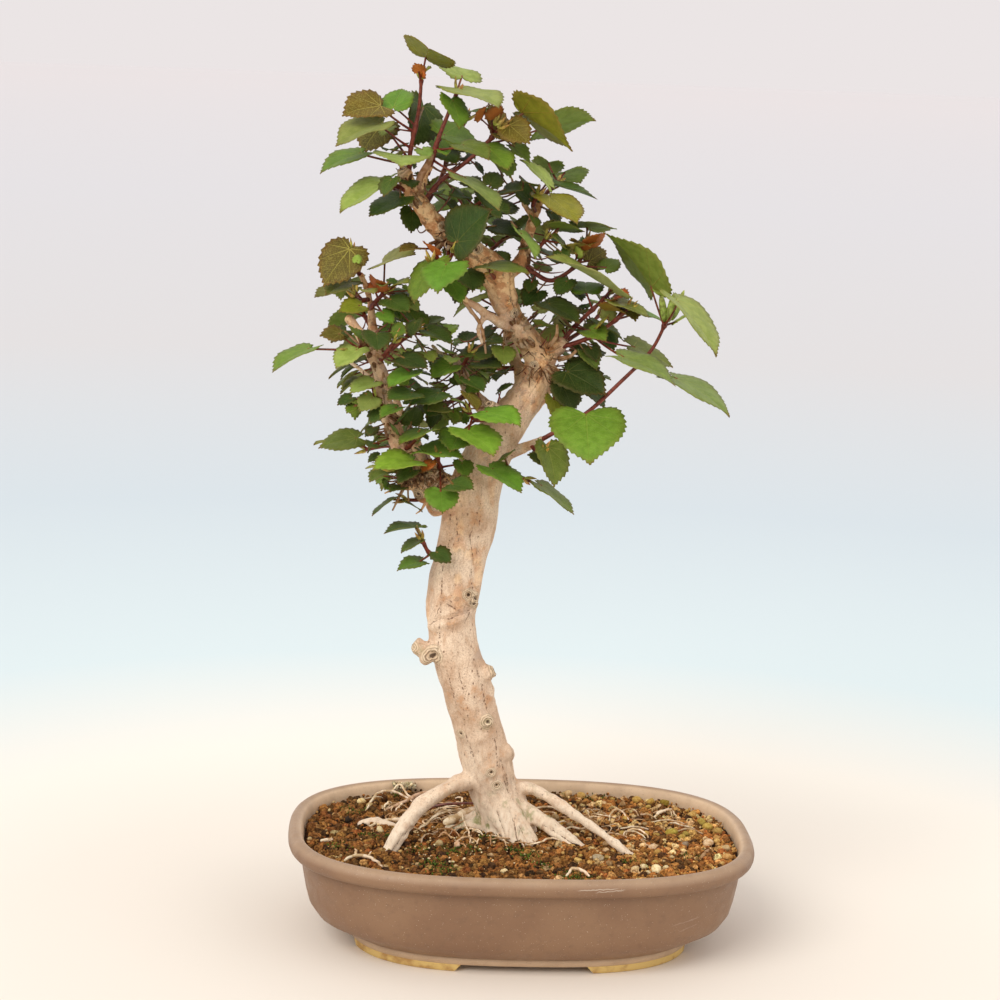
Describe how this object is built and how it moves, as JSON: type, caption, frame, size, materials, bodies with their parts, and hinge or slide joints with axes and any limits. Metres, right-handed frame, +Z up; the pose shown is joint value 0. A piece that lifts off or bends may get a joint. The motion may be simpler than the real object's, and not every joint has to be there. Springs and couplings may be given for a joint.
{
  "type": "bonsai tree",
  "caption": "Sea hibiscus bonsai with a leaning trunk, raised roots and heart-shaped toothed leaves, in an oval unglazed stoneware pot.",
  "frame": {"origin": "middle of the bounding box, on the plane that the pot's feet stand on", "axes": "+Z up along the tree, X along the pot's long side, -Y towards the front of the picture"},
  "size_m": [0.2851, 0.2062, 0.5144],
  "materials": {
    "clay": "unglazed taupe stoneware with a fine pale speckle",
    "soil": "orange-brown baked clay grains, matte",
    "bark": "smooth beige bark with dark pores",
    "mesh": "black plastic mesh",
    "wire": "dark maroon coated wire",
    "leaf": "green leaves with a soft sheen, some bronze and olive"
  },
  "bodies": {
    "root": {"pot": "clay", "soil": "soil", "drain_screen_left": "mesh", "drain_screen_right": "mesh", "trunk": "bark", "tie_wire": "wire", "shoot_crown_left": "leaf", "shoot_crown_mid": "leaf", "shoot_crown_right": "leaf", "shoot_crown_back": "leaf", "shoot_crown_low": "leaf", "shoot_leader_front": "leaf", "shoot_leader_top": "leaf", "shoot_leader_under": "leaf", "shoot_leader_side": "leaf", "shoot_top_right": "leaf", "shoot_right_high": "leaf", "shoot_right_fork": "leaf", "shoot_right_long": "leaf", "shoot_right_tip": "leaf", "shoot_right_out": "leaf", "shoot_right_inner": "leaf", "shoot_right_low": "leaf", "shoot_trunk_right": "leaf", "shoot_cut_limb_tuft": "leaf", "shoot_burl_front": "leaf", "shoot_burl_left": "leaf", "shoot_burl_low": "leaf", "shoot_low_spray": "leaf", "shoot_left_top": "leaf", "shoot_left_side": "leaf", "shoot_left_mid": "leaf", "shoot_left_stub": "leaf", "shoot_left_front": "leaf", "shoot_left_reach": "leaf", "shoot_mid_cut_tuft": "leaf", "shoot_mid_lower": "leaf", "shoot_left_lower": "leaf", "shoot_left_base": "leaf", "back_shoot_1": "leaf", "back_shoot_2": "leaf", "back_shoot_3": "leaf", "back_shoot_4": "leaf", "back_shoot_5": "leaf", "back_shoot_6": "leaf", "back_shoot_7": "leaf", "back_shoot_8": "leaf", "back_shoot_9": "leaf", "back_shoot_10": "leaf", "back_shoot_11": "leaf"}
  },
  "joints": []
}
